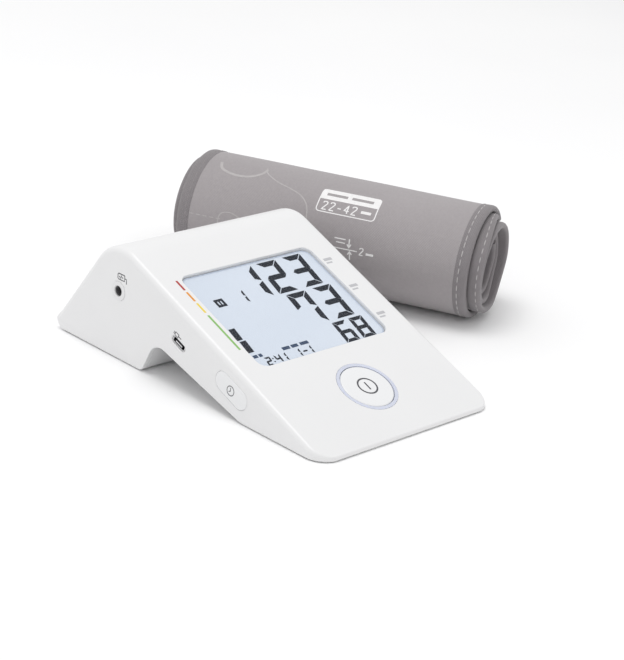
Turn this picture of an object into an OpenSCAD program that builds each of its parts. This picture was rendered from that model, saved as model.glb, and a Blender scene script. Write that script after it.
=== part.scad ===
// Home blood pressure set: a wedge-shaped desktop monitor and its rolled upper-arm cuff.
// Millimetres. Origin: centre of the monitor's footprint on the table. X right, Y back, Z up.

/* [Case] */
// Width of the monitor across the display
case_width = 96; // [95:0.5:98]
// Wall thickness of the moulded covers
wall = 2; // [1.8:0.1:2.1]
// Plan radius of the two front corners
corner_r = 9; // [6:0.5:10]
// Radius along the upper side edges
edge_r = 2; // [1:0.5:2.5]
// Radius of the ridge between display face and rear face
ridge_r = 18; // [16:0.5:19]
// Height of the moulded case above the table
foot_gap = 0.5; // [0.4:0.1:0.7]

/* [Display] */
// Visible width of the display window
window_w = 69.8; // [68:0.2:70]
// Visible height of the display window, along the slope
window_h = 54.3; // [53:0.1:54.5]
// Corner radius of the window
window_r = 4; // [2:0.5:5]

/* [Buttons] */
// Radius of the start button cap
cap_r = 11.2; // [10:0.1:11.3]
// Outer radius of the lit ring
ring_r = 12.8; // [12.5:0.1:13]
// Length of the clock button
clock_l = 19; // [16:0.5:19.5]
// Width of the clock button
clock_w = 8.5; // [7:0.5:8.5]

/* [Sockets] */
// Bore radius of the air jack
jack_r = 2.25; // [2:0.05:2.4]

/* [Power] */
// Radius of an AAA cell
cell_r = 5.25; // [5:0.05:5.25]
// Length of an AAA cell
cell_l = 44.5; // [43.5:0.5:45]

/* [Cuff] */
// Width of the cuff fabric, along the roll
cuff_w = 135; // [125:1:140]
// Upright radius of the roll at its free edge
roll_r = 26.6; // [26:0.1:27]
// Width of the roll over its height
roll_flat = 1.13; // [1.05:0.01:1.15]
// Distance from one turn to the next
pitch = 3.4; // [3.4:0.05:3.5]
// Number of turns
turns = 4; // [3:0.25:4.5]
// Distance that the inner turns stand out of the right end
telescope = 6; // [0:1:8]

/* [Hidden] */
$fn = 48;

hw = case_width / 2;
iw = hw - wall;
nose = [-75.34, 3.28];
pa = [-78.7, foot_gap];
pg = [-34, foot_gap];
pf = [17.8, 15.3];
pe = [24.5, foot_gap];
pd = [83.6, foot_gap];
pc = [47.1, 51.0];
pb = [-78.7, 1.97];
tilt = atan2(pc.y - nose.y, pc.x - nose.x);
rear_tilt = atan2(pc.y - pd.y, pd.x - pc.x);
cav_front = -67;
lid_back = 73;
axis_y = 45;
axis_z = 29;
jack_y = 41.2;
jack_z = 29.1;
junction_x = -27;
win_x = -1.35;
win_s = 73.8;
start_x = -0.1;
start_s = 23.2;
clock_s = 47.2;
clock_d = 9.35;
boss_front = [36, -49];
boss_back = [40, 63];
cell_y = [32.8, 43.6, 54.4, 65.2];
cell_z = 7.95;
door_y = 72;
door_z = foot_gap + 0.9;
roll_at = [90.4, 54.9];
roll_turn = -64.5;
phi0 = 35;
phi_hinge = 120;
phi_end = phi0 + 360 * turns;
step = 10;
roll_z = roll_r - pitch * (270 - phi0) / 360 + 0.05;
port_r = 29.8;

function unit(v) = v / norm(v);
function fillet(p0, p1, p2, r, n) =
  r == 0 ? [p1] :
  let (u = unit(p0 - p1), v = unit(p2 - p1), h = acos(u * v) / 2)
  let (c = p1 + unit(u + v) * r / sin(h), a = p1 + u * r / tan(h), b = p1 + v * r / tan(h))
  let (a0 = atan2(a.y - c.y, a.x - c.x), a1 = atan2(b.y - c.y, b.x - c.x))
  let (d = ((a1 - a0 + 540) % 360) - 180)
  [for (i = [0:n]) c + r * [cos(a0 + d * i / n), sin(a0 + d * i / n)]];
function rounded(p, r, n = 6) =
  let (m = len(p))
  [for (i = [0:m - 1]) each fillet(p[(i + m - 1) % m], p[i], p[(i + 1) % m], r[i], n)];
function left(a, b) = let (e = unit(b - a)) [-e.y, e.x];
function inner(p0, p1, p2, d) =
  let (n0 = left(p0, p1), n1 = left(p1, p2)) p1 + (n0 + n1) * d / (1 + n0 * n1);
function coil(phi, off) =
  let (r = roll_r - pitch * (phi - phi0) / 360 - off) [roll_flat * r * cos(phi), r * sin(phi)];
function strip(a, b, o, t) =
  let (n = ceil((b - a) / step))
  concat(
    [for (i = [0:n]) coil(a + (b - a) * i / n, o)],
    [for (i = [n:-1:0]) coil(a + (b - a) * i / n, o + t)]
  );

qg = inner(pa, pg, pf, wall);
qf = inner(pg, pf, pe, wall);
qe = inner(pf, pe, pd, wall);
qd = inner(pe, pd, pc, wall);
qc = inner(pd, pc, pb, wall);
roof = nose.y + (cav_front - nose.x) * tan(tilt) - wall / cos(tilt);
ridge_u = unit(pd - pc);
ridge_v = unit(pb - pc);
ridge_h = acos(ridge_u * ridge_v) / 2;
ridge_c = pc + unit(ridge_u + ridge_v) * ridge_r / sin(ridge_h);

// Prism along X from a side profile drawn in Y and Z
module side_prism(x0, x1) {
  translate([x0, 0, 0]) rotate([90, 0, 90]) linear_extrude(x1 - x0) children();
}

// Frame lying on the display face: X right, Y up the slope, Z out of the face
module on_face(x, s, depth) {
  translate([x, nose.x, nose.y]) rotate([tilt, 0, 0]) translate([0, s, -depth]) children();
}

module plate(w, h, t, r) {
  linear_extrude(t) polygon(rounded(
    [[-w / 2, -h / 2], [w / 2, -h / 2], [w / 2, h / 2], [-w / 2, h / 2]], [r, r, r, r], 5));
}

module ring(ro, ri, h) {
  difference() {
    cylinder(r = ro, h = h);
    translate([0, 0, -1]) cylinder(r = ri, h = h + 2);
  }
}

module rod_x(x0, x1, y, z, r) {
  translate([x0, y, z]) rotate([0, 90, 0]) cylinder(r = r, h = x1 - x0);
}

module tube_x(x0, x1, y, z, ro, ri) {
  translate([x0, y, z]) rotate([0, 90, 0]) ring(ro, ri, x1 - x0);
}

module stadium_x(x0, x1, l, w) {
  translate([x0, 0, 0]) rotate([0, 90, 0]) {
    translate([0, -(l - w) / 2, 0]) cylinder(r = w / 2, h = x1 - x0);
    translate([0, (l - w) / 2, 0]) cylinder(r = w / 2, h = x1 - x0);
    translate([-w / 2, -(l - w) / 2, 0]) cube([w, l - w, x1 - x0]);
  }
}

module four(p, q) {
  for (sx = [-1, 1]) {
    translate([sx * p.x, p.y, 0]) children();
    translate([sx * q.x, q.y, 0]) children();
  }
}

// Waste beyond a 45 degree cut along the upper side edges, turning over the ridge
module upper_edge_waste(sx) {
  for (k = [0:8]) {
    t = tilt - (tilt + rear_tilt) * k / 8;
    translate([sx * hw, ridge_c.x - ridge_r * sin(t), ridge_c.y + ridge_r * cos(t)])
      rotate([t, 0, 0]) rotate([0, sx * 45, 0])
        translate([-15, -150, -edge_r * sqrt(0.5)]) cube([30, 300, 10]);
  }
}

// Waste outside a rounded front corner
module front_corner_waste(sx) {
  difference() {
    translate([sx * (hw - corner_r + 10), pa.x + corner_r - 10, 5]) cube([20, 20, 14], center = true);
    translate([sx * (hw - corner_r), pa.x + corner_r, -3]) cylinder(r = corner_r, h = 16);
  }
}

module case_solid() {
  difference() {
    side_prism(-hw, hw)
      polygon(rounded([pa, pg, pf, pe, pd, pc, pb], [0.4, 12, 7, 3, 4.4, ridge_r, 1.1], 8));
    for (sx = [-1, 1]) {
      upper_edge_waste(sx);
      front_corner_waste(sx);
    }
  }
}

module top_cover() {
  color([0.93, 0.935, 0.95]) difference() {
    union() {
      difference() {
        case_solid();
        side_prism(-iw, iw) polygon(rounded(
          [[cav_front, -1], [lid_back + 0.15, -1], [lid_back + 0.15, qd.y], qd, qc, [cav_front, roof]],
          [0, 0, 0, 2.4, ridge_r - wall, 0], 8));
      }
      for (x = [-34, 34], s = [41, 107]) on_face(x, s, 8.95) cylinder(r = 2.2, h = 8);
      for (sx = [-1, 1]) {
        translate([sx * boss_front.x, boss_front.y, 5.05]) cylinder(r = 3.2, h = 6);
        translate([sx * boss_back.x, boss_back.y, 5.05]) cylinder(r = 3.2, h = 18);
      }
    }
    on_face(win_x, win_s, wall + 1) plate(window_w + 0.3, window_h + 0.3, wall + 2, window_r);
    on_face(start_x, start_s, wall + 1) cylinder(r = ring_r + 0.05, h = wall + 2);
    on_face(-hw, clock_s, clock_d) stadium_x(-1, wall + 0.5, clock_l + 0.4, clock_w + 0.4);
    on_face(-hw, 79.6, 13.4) translate([-1, 0, 0]) rotate([0, 90, 0])
      plate(3.4, 8.2, wall + 2, 1);
    rod_x(-hw - 1, -iw + 0.5, jack_y, jack_z, 4.05);
    for (x = [-34, 34], s = [41, 107]) on_face(x, s, 9) cylinder(r = 0.85, h = 6);
    four(boss_front, boss_back) translate([0, 0, 5]) cylinder(r = 1.45, h = 5);
  }
}

module bottom_cover() {
  color([0.9, 0.905, 0.92]) difference() {
    union() {
      side_prism(-iw + 0.15, iw - 0.15) polygon(rounded(
        [[cav_front + 0.15, foot_gap], pg, pf, pe, [lid_back, foot_gap], [lid_back, foot_gap + wall],
          qe, qf, qg, [cav_front + 0.15, foot_gap + wall]],
        [0, 12, 7, 3, 0, 0, 1, 9, 14, 0], 6));
      side_prism(-31, 31) polygon(
        [[26.9, 1], [26.9, 14.9], [69, 14.9], [lid_back - 0.2, 10], [lid_back - 0.2, 1]]);
      four(boss_front, boss_back) translate([0, 0, foot_gap]) cylinder(r = 4.2, h = 4.5);
    }
    side_prism(-29.8, 29.8) polygon(
      [[27.4, -1], [27.4, 13.7], [68.4, 13.7], [71.4, 10.6], [door_y + 1.2, 8], [door_y + 1.2, -1]]);
    four(boss_front, boss_back) {
      translate([0, 0, -1]) cylinder(r = 2.9, h = 4.3);
      translate([0, 0, 3]) cylinder(r = 1.6, h = 4);
    }
    four([34, -61], [38, 31.5]) translate([0, 0, -1]) cylinder(r = 4.05, h = 2.5);
  }
}

module display_window() {
  color([0.86, 0.9, 0.95, 0.4]) on_face(win_x, win_s, 1.35) plate(window_w, window_h, 1.2, window_r);
}

module lcd_frame() {
  color([0.82, 0.83, 0.85]) difference() {
    on_face(win_x, win_s, 8.9) plate(74, 58.5, 6.85, 3);
    on_face(win_x, win_s, 9.5) plate(67.4, 52, 9, 1);
  }
}

module lcd_panel() {
  color([0.84, 0.88, 0.93]) {
    on_face(win_x, win_s, 4.5) plate(67, 51.5, 2.6, 0.5);
    on_face(win_x, win_s, 2) plate(window_w - 0.4, window_h - 0.4, 0.55, window_r - 0.2);
  }
}

module lcd_backlight() {
  color([0.95, 0.97, 1]) on_face(win_x, win_s + 2.3, 7.5) plate(66.6, 46.4, 2.9, 0.5);
}

module lcd_connector() {
  color([0.25, 0.25, 0.27]) on_face(win_x, win_s - 23.6, 8.95) plate(60, 2.2, 4.4, 0.3);
}

module start_button() {
  color([0.95, 0.955, 0.965]) on_face(start_x, start_s, 0) {
    translate([0, 0, -1.6]) cylinder(r = cap_r, h = 1.6);
    translate([0, 0, -2.65]) cylinder(r = 2, h = 1.2);
  }
}

module start_button_ring() {
  color([0.78, 0.82, 0.9]) on_face(start_x, start_s, 0) {
    translate([0, 0, -2.9]) ring(ring_r, cap_r + 0.2, 2.9);
    translate([0, 0, -2.9]) ring(ring_r + 1.2, cap_r + 0.2, 0.8);
  }
}

module start_switch() {
  color([0.2, 0.2, 0.22]) on_face(start_x, start_s, 4.5) {
    plate(4.6, 4.6, 0.9, 0.3);
    cylinder(r = 1.2, h = 1.25);
  }
}

module clock_button() {
  color([0.92, 0.925, 0.94]) on_face(-hw, clock_s, clock_d) {
    stadium_x(-0.25, wall + 0.4, clock_l, clock_w);
    stadium_x(wall + 0.1, wall + 1, clock_l + 2, clock_w + 2);
  }
}

module clock_switch() {
  color([0.2, 0.2, 0.22]) on_face(-40.6, clock_s, 8.98) {
    translate([-3.2, -2.5, 0]) cube([3.8, 5, 1.9]);
    translate([-3.75, -0.9, 0.4]) cube([0.8, 1.8, 1]);
  }
}

module main_board() {
  color([0.1, 0.42, 0.26]) difference() {
    on_face(0, 73.5, 10.6) plate(84, 71, 1.6, 1);
    for (x = [-34, 34], s = [41, 107]) on_face(x, s, 11) cylinder(r = 0.95, h = 3);
  }
}

module microcontroller() {
  color([0.12, 0.12, 0.13]) on_face(12, 78, 11.9) plate(10, 10, 1.25, 0.3);
}

module button_board() {
  color([0.1, 0.42, 0.26]) on_face(start_x, start_s, 5.35) plate(20, 13, 0.8, 1);
}

module ribbon_cable() {
  color([0.85, 0.85, 0.82]) on_face(start_x, 0, 0) side_prism(-5, 5) polygon(
    [[28.5, -5.4], [31, -5.4], [37.2, -10.65], [46, -10.65], [46, -10.95], [37.1, -10.95],
      [30.9, -5.7], [28.5, -5.7]]);
}

module board_screws() {
  color([0.7, 0.7, 0.72]) for (x = [-34, 34], s = [41, 107]) on_face(x, s, 11.7) {
    cylinder(r = 1.7, h = 1.05);
    cylinder(r = 0.8, h = 7);
  }
}

module case_screws() {
  color([0.62, 0.62, 0.64]) four(boss_front, boss_back) difference() {
    union() {
      translate([0, 0, 1.8]) cylinder(r = 2.6, h = 1.45);
      translate([0, 0, 2]) cylinder(r = 1.4, h = 7.5);
    }
    translate([-1.6, -0.3, 1]) cube([3.2, 0.6, 1.5]);
    translate([-0.3, -1.6, 1]) cube([0.6, 3.2, 1.5]);
  }
}

module air_jack() {
  color([0.88, 0.89, 0.9]) difference() {
    union() {
      rod_x(-hw - 0.2, -hw + 4, jack_y, jack_z, 4);
      rod_x(-hw + 3, -37, jack_y, jack_z, 3.3);
      rod_x(-37.5, -33.4, jack_y, jack_z, 1.8);
    }
    rod_x(-hw - 1, -hw + 10, jack_y, jack_z, jack_r);
    rod_x(-hw + 9, -33, jack_y, jack_z, 0.9);
  }
}

module air_manifold() {
  color([0.75, 0.76, 0.78]) difference() {
    union() {
      translate([junction_x - 2.2, jack_y - 2.2, jack_z - 2.2]) cube(4.4);
      rod_x(junction_x - 4.8, junction_x + 4.8, jack_y, jack_z, 1.8);
      translate([junction_x, jack_y, jack_z - 3.4]) cylinder(r = 1.8, h = 3.4);
      translate([junction_x, jack_y, jack_z]) rotate([90, 0, 0]) cylinder(r = 1.8, h = 5);
    }
    rod_x(junction_x - 5, junction_x + 5, jack_y, jack_z, 0.9);
    translate([junction_x, jack_y, jack_z - 4]) cylinder(r = 0.9, h = 4);
    translate([junction_x, jack_y, jack_z]) rotate([90, 0, 0]) cylinder(r = 0.9, h = 6);
  }
}

module air_tubes() {
  color([0.85, 0.86, 0.84]) {
    tube_x(-36.6, junction_x - 2.4, jack_y, jack_z, 2.6, 1.85);
    tube_x(junction_x + 2.4, -19.2, jack_y, jack_z, 2.6, 1.85);
    translate([junction_x, jack_y, 24.4]) ring(2.6, 1.85, 2.3);
    translate([junction_x, jack_y - 2.4, jack_z]) rotate([90, 0, 0]) ring(2.6, 1.85, 8);
  }
}

module pressure_sensor() {
  color([0.8, 0.8, 0.78]) difference() {
    union() {
      on_face(junction_x, 100.6, 14.4) plate(7, 7, 3.75, 0.4);
      translate([junction_x, 34, jack_z]) rotate([90, 0, 0]) cylinder(r = 1.8, h = 9);
    }
    translate([junction_x, 35, jack_z]) rotate([90, 0, 0]) cylinder(r = 0.8, h = 8);
  }
}

module pump_motor() {
  color([0.72, 0.73, 0.75]) difference() {
    rod_x(-2, 32, axis_y, axis_z, 11.9);
    rod_x(-3, 12, axis_y, axis_z, 1.1);
  }
}

module pump_head() {
  color([0.2, 0.2, 0.22]) difference() {
    union() {
      rod_x(-19, -2.05, axis_y, axis_z, 11.2);
      rod_x(-21.8, -18.5, jack_y, jack_z, 1.8);
    }
    rod_x(-16.6, -1, axis_y, axis_z, 9.2);
    rod_x(-23, -16, jack_y, jack_z, 0.9);
  }
}

module pump_diaphragm() {
  color([0.15, 0.15, 0.15]) rod_x(-15.6, -14.4, axis_y, axis_z, 9.1);
}

module pump_rotor() {
  color([0.6, 0.61, 0.63]) {
    rod_x(-12.5, 10, axis_y, axis_z, 1);
    rod_x(-12.5, -7, axis_y + 1.6, axis_z, 4.6);
  }
}

module release_valve() {
  color([0.16, 0.16, 0.18]) difference() {
    union() {
      translate([junction_x - 6, jack_y - 6, 15.2]) cube([12, 12, 9]);
      translate([junction_x, jack_y, 24]) cylinder(r = 1.8, h = 1.4);
    }
    translate([junction_x, jack_y, 16.2]) cylinder(r = 1.8, h = 6.4);
    translate([junction_x, jack_y, 22]) cylinder(r = 0.8, h = 4);
  }
}

module valve_plunger() {
  color([0.7, 0.7, 0.72]) translate([junction_x, jack_y, 17.4]) cylinder(r = 1.7, h = 5);
}

module buzzer() {
  color([0.1, 0.1, 0.1]) on_face(26, 62, 14.1) ring(6, 0.8, 3.45);
}

module usb_socket() {
  color([0.7, 0.7, 0.72]) on_face(-hw, 79.6, 13.4) difference() {
    union() {
      translate([0.5, 0, 0]) rotate([0, 90, 0]) plate(2.9, 7.6, 6.5, 0.8);
      translate([2.6, -3.6, 1]) cube([4.4, 1, 1.75]);
      translate([2.6, 2.6, 1]) cube([4.4, 1, 1.75]);
    }
    translate([0, 0, 0]) rotate([0, 90, 0]) difference() {
      plate(2.1, 6.8, 6, 0.5);
      translate([0.25, 0, 0]) plate(0.6, 4, 6, 0.1);
    }
  }
}

module batteries() {
  color([0.25, 0.45, 0.3]) for (i = [0:3]) {
    rod_x(-cell_l / 2, cell_l / 2 - 1, cell_y[i], cell_z, cell_r);
    rod_x(cell_l / 2 - 1.2, cell_l / 2, cell_y[i], cell_z, 2.6);
  }
}

module battery_springs() {
  color([0.75, 0.75, 0.76]) for (y = cell_y) {
    translate([-29.6, y - 4, 4]) cube([0.4, 8, 8]);
    for (i = [0:8]) translate([-28.9 + i * 0.75, y, cell_z]) rotate([0, 90, 0])
      rotate_extrude($fn = 24) translate([3.6 - i * 0.15, 0]) circle(r = 0.42, $fn = 16);
  }
}

module battery_plates() {
  color([0.78, 0.78, 0.79]) for (y = cell_y) {
    translate([29.2, y - 4, 4]) cube([0.4, 8, 8]);
    rod_x(cell_l / 2 + 0.05, 29.3, y, cell_z, 1.8);
  }
}

module battery_door() {
  color([0.9, 0.905, 0.92]) difference() {
    union() {
      translate([-29.5, 27.6, foot_gap]) cube([59, door_y - 27.6, 1.8]);
      rod_x(-29.5, 29.5, door_y, door_z, 0.9);
    }
    for (i = [0:3]) translate([-8, 30 + i * 1.6, foot_gap - 0.5]) cube([16, 0.8, 0.9]);
  }
}

module rubber_feet() {
  color([0.3, 0.3, 0.32]) four([34, -61], [38, 31.5]) cylinder(r = 4, h = 1.45);
}

module roll() {
  translate([roll_at.x, roll_at.y, roll_z]) rotate([0, 0, roll_turn]) children();
}

// Sheet wound from angle a to angle b, at an offset inwards and with a thickness
module wound(a, b, o, t, x0, x1) {
  roll() side_prism(x0, x1) polygon(strip(a, b, o, t));
}

// Space beyond the outer turn's right end, so that inner turns stand out of it
module outer_turn_waste(x) {
  roll() side_prism(x, x + 20) polygon(concat(
    [for (i = [0:36]) coil(phi0 - 2 + 362 * i / 36, pitch - 0.4)],
    [for (i = [36:-1:0]) 45 * [cos(phi0 - 2 + 362 * i / 36), sin(phi0 - 2 + 362 * i / 36)]]));
}

module cuff_shell() {
  color([0.6, 0.575, 0.585]) difference() {
    wound(phi_hinge + 0.8, phi_end, 0, 0.7, -cuff_w / 2, cuff_w / 2 + telescope);
    outer_turn_waste(cuff_w / 2);
  }
}

module cuff_lining() {
  color([0.52, 0.5, 0.51]) difference() {
    wound(phi_hinge + 0.8, phi_end, 1.95, 0.6, -cuff_w / 2, cuff_w / 2 + telescope);
    outer_turn_waste(cuff_w / 2);
  }
}

module air_bladder() {
  color([0.35, 0.35, 0.36]) wound(phi0 + 380, phi0 + 960, 0.85, 0.95, -cuff_w / 2 + 10, cuff_w / 2 - 10);
}

module hem_tape() {
  color([0.48, 0.46, 0.47]) {
    wound(phi_hinge + 0.8, phi_end, 0.7, 1.25, -cuff_w / 2, -cuff_w / 2 + 8);
    difference() {
      wound(phi_hinge + 0.8, phi_end, 0.7, 1.25, cuff_w / 2 - 8, cuff_w / 2 + telescope);
      outer_turn_waste(cuff_w / 2);
    }
  }
}

module loop_patch() {
  color([0.5, 0.48, 0.49]) wound(phi0 + 362, phi0 + 440, -0.7, 0.6, -cuff_w / 2 + 12, cuff_w / 2 - 12);
}

module hose_port() {
  color([0.25, 0.25, 0.27]) difference() {
    roll() translate([-44, 0, 0]) rotate([-100, 0, 0]) {
      translate([0, 0, port_r - 8]) cylinder(r = 6, h = 6.4);
      translate([0, 0, port_r - 3]) cylinder(r = 3.2, h = 5.8);
      translate([0, 0, port_r]) rotate([0, -90, 0]) cylinder(r = 3, h = 6.4);
      translate([0, 0, port_r]) rotate([0, -90, 0]) cylinder(r = 2.5, h = 16);
    }
    roll() side_prism(-55, -35) polygon([for (i = [0:60]) coil(phi0 + 2 + 6 * i, -0.06)]);
    roll() translate([-44, 0, 0]) rotate([-100, 0, 0]) {
      translate([0, 0, port_r]) rotate([0, -90, 0]) cylinder(r = 1.5, h = 17);
      translate([0, 0, port_r - 6]) cylinder(r = 1.4, h = 6);
    }
  }
}

module cuff_flap() {
  color([0.62, 0.595, 0.605]) wound(phi0, phi_hinge, 0, 0.7, -cuff_w / 2, cuff_w / 2);
}

module hook_patch() {
  color([0.4, 0.385, 0.39]) wound(phi0 + 6, phi0 + 64, 0.78, 0.92, -cuff_w / 2 + 14, cuff_w / 2 - 14);
}

top_cover();
bottom_cover();
display_window();
lcd_frame();
lcd_panel();
lcd_backlight();
lcd_connector();
start_button();
start_button_ring();
start_switch();
clock_button();
clock_switch();
main_board();
microcontroller();
button_board();
ribbon_cable();
board_screws();
case_screws();
air_jack();
air_manifold();
air_tubes();
pressure_sensor();
pump_motor();
pump_head();
pump_diaphragm();
pump_rotor();
release_valve();
valve_plunger();
buzzer();
usb_socket();
batteries();
battery_springs();
battery_plates();
battery_door();
rubber_feet();
cuff_shell();
cuff_lining();
air_bladder();
hem_tape();
loop_patch();
hose_port();
cuff_flap();
hook_patch();
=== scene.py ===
"""A desktop blood pressure monitor with its rolled arm cuff, on a pale table.

X runs to the right across the monitor, Y towards its back and Z up, in metres. Sizes are
written in millimetres and turned into metres by the constant MM.
"""
import math

import bmesh
import bpy
from mathutils import Matrix, Vector, noise


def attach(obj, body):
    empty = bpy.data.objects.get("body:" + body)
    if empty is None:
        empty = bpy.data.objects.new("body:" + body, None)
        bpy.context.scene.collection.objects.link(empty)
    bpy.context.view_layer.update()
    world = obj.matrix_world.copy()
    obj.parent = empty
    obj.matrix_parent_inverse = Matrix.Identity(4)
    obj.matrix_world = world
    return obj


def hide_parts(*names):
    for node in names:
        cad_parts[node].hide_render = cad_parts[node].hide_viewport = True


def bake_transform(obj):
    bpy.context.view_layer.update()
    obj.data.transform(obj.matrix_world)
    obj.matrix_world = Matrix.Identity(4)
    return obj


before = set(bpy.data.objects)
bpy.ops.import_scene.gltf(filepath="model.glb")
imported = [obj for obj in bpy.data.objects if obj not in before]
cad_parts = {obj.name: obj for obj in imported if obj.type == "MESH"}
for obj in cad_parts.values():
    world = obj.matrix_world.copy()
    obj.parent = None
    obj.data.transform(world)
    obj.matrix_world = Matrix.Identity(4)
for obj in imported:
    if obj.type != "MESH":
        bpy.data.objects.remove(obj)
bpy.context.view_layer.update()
MM = 0.001

# --- Monitor case, in mm ---------------------------------------------------------------
HALF_W = 48.0
WALL = 2.0
INNER_HALF_W = HALF_W - WALL
FOOT_GAP = 0.5
CORNER_R = 9.0
EDGE_R = 2.6
NOSE = (-78.7, 1.97)
RIDGE = (47.1, 51.0)
HEEL = (83.6, FOOT_GAP)
RIDGE_R = 18.0
HEEL_R = 4.4
ARCH_FRONT = (-34.0, FOOT_GAP)
ARCH_TOP = (17.8, 15.3)
ARCH_BACK = (24.5, FOOT_GAP)
ARCH = ((NOSE[0], FOOT_GAP), ARCH_FRONT, ARCH_TOP, ARCH_BACK, HEEL)
ARCH_RADII = (12.0, 7.0, 3.0)
NOSE_TOP_R = 1.1
NOSE_LOW_R = 0.35
CAVITY_FRONT = -67.0
CAVITY_BACK = 73.15

# --- Display face: x across, s up the slope, depth below the surface ---------------------
FACE_Y = -75.34
FACE_Z = 3.28
TILT = math.atan2(RIDGE[1] - FACE_Z, RIDGE[0] - FACE_Y)
WINDOW_X = -1.35
WINDOW_S = 73.8
WINDOW_W = 69.8
WINDOW_H = 54.3
WINDOW_R = 4.0
WINDOW_TOP = 0.15
WINDOW_BOTTOM = 1.35
START_X = -0.1
START_S = 23.2
START_R = 11.2
RING_R = 12.8
CLOCK_S = 47.2
CLOCK_DEPTH = 9.35
CLOCK_L = 19.0
CLOCK_H = 8.5
USB_S = 79.6
USB_DEPTH = 13.4
JACK_Y = 41.2
JACK_Z = 29.1
JACK_R = 2.25

# --- Rolled cuff, in its own frame: x along the roll, phi round it, r outwards -----------
ROLL_AT = (90.4, 54.9)
ROLL_TURN = math.radians(-64.5)
ROLL_R = 26.6
ROLL_FLAT = 1.13
PITCH = 3.4
ROLL_START = 35.0
ROLL_TURNS = 4.0
CUFF_HALF = 67.5
TELESCOPE = 5.5
FLAP_END = 140.0

FACE_MATRIX = (
    Matrix.Translation((0, FACE_Y * MM, FACE_Z * MM)) @ Matrix.Rotation(TILT, 4, "X")
)


# --- Mesh helpers ----------------------------------------------------------------------
def in_scene(name, data):
    thing = bpy.data.objects.new(name, data)
    bpy.context.scene.collection.objects.link(thing)
    return thing


def new_piece(name, verts, faces, material, smooth=True):
    mesh = bpy.data.meshes.new(name)
    mesh.from_pydata([tuple(v) for v in verts], [], faces)
    mesh.validate()
    piece = in_scene(name, mesh)
    mesh.materials.append(material)
    if smooth:
        mesh.polygons.foreach_set("use_smooth", [True] * len(mesh.polygons))
    return piece


def fix_normals(piece, sharp_deg=35.0):
    """Faces point outwards, and edges past the given angle stay crisp."""
    work = bmesh.new()
    work.from_mesh(piece.data)
    bmesh.ops.remove_doubles(work, verts=work.verts, dist=0.002 * MM)
    bmesh.ops.recalc_face_normals(work, faces=work.faces)
    for edge in work.edges:
        if len(edge.link_faces) == 2:
            edge.smooth = edge.calc_face_angle(0.0) < math.radians(sharp_deg)
    work.to_mesh(piece.data)
    work.free()
    piece.data.polygons.foreach_set("use_smooth", [True] * len(piece.data.polygons))


def weighted(piece):
    """Flat faces stay flat-looking beside their rounded edges."""
    modifier = piece.modifiers.new("even_normals", "WEIGHTED_NORMAL")
    modifier.keep_sharp = True


def rounded_rect(width, height, radius, steps=8):
    """Corner points of a rounded rectangle, counter-clockwise, about its middle."""
    points = []
    corners = ((1, 1, 0), (-1, 1, 90), (-1, -1, 180), (1, -1, 270))
    for sx, sy, start in corners:
        for k in range(steps + 1):
            a = math.radians(start + 90 * k / steps)
            x = sx * (width / 2 - radius) + radius * math.cos(a)
            y = sy * (height / 2 - radius) + radius * math.sin(a)
            points.append((x, y))
    return points


def circle(radius, steps=64):
    return [
        (radius * math.cos(2 * math.pi * k / steps), radius * math.sin(2 * math.pi * k / steps))
        for k in range(steps)
    ]


def quads(a, b, count):
    """Faces between two closed rings of count points, which start at the vertices a and b."""
    return [(a + i, a + (i + 1) % count, b + (i + 1) % count, b + i) for i in range(count)]


def solid_through(name, rings, material, sharp_deg=35.0):
    """A closed solid through a row of equal-length rings of points in metres."""
    count = len(rings[0])
    last = (len(rings) - 1) * count
    faces = [face for a in range(0, last, count) for face in quads(a, a + count, count)]
    faces.append(tuple(reversed(range(count))))
    faces.append(tuple(range(last, last + count)))
    piece = new_piece(name, [point for ring in rings for point in ring], faces, material)
    fix_normals(piece, sharp_deg)
    return piece


def stacked(name, rings, place, material, sharp_deg=35.0):
    """A closed solid through rings of (x, y, z) points in mm, moved to its place."""
    placed_rings = [[place @ (Vector(p) * MM) for p in ring] for ring in rings]
    return solid_through(name, placed_rings, material, sharp_deg)


def slab(name, outline, low, high, place, material, bevel=0.0):
    """An outline in mm made solid between two heights, with a small rounded upper edge."""
    rings = [[(x, y, low) for x, y in outline]]
    centre_x = sum(p[0] for p in outline) / len(outline)
    centre_y = sum(p[1] for p in outline) / len(outline)
    if not bevel:
        rings.append([(x, y, high) for x, y in outline])
        return stacked(name, rings, place, material)
    reach = max(math.hypot(x - centre_x, y - centre_y) for x, y in outline)
    for k in range(5):
        a = math.radians(90 * k / 4)
        inset = 1 - bevel * (1 - math.cos(a)) / reach
        z = high - bevel + bevel * math.sin(a)
        rings.append(
            [(centre_x + (x - centre_x) * inset, centre_y + (y - centre_y) * inset, z)
             for x, y in outline]
        )
    return stacked(name, rings, place, material, 50.0)


def joined(name, parts):
    """Several pieces as one object that keeps every part's mesh and materials."""
    work = bmesh.new()
    materials = []
    for part in parts:
        mesh = part.data
        for slot_material in mesh.materials:
            if slot_material not in materials:
                materials.append(slot_material)
        index = [materials.index(m) for m in mesh.materials]
        before = len(work.faces)
        work.from_mesh(mesh)
        work.faces.ensure_lookup_table()
        for face in work.faces[before:]:
            face.material_index = index[min(face.material_index, len(index) - 1)]
    mesh = bpy.data.meshes.new(name)
    work.to_mesh(mesh)
    work.free()
    for material in materials:
        mesh.materials.append(material)
    piece = in_scene(name, mesh)
    for part in parts:
        bpy.data.objects.remove(part)
    return piece


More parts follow.
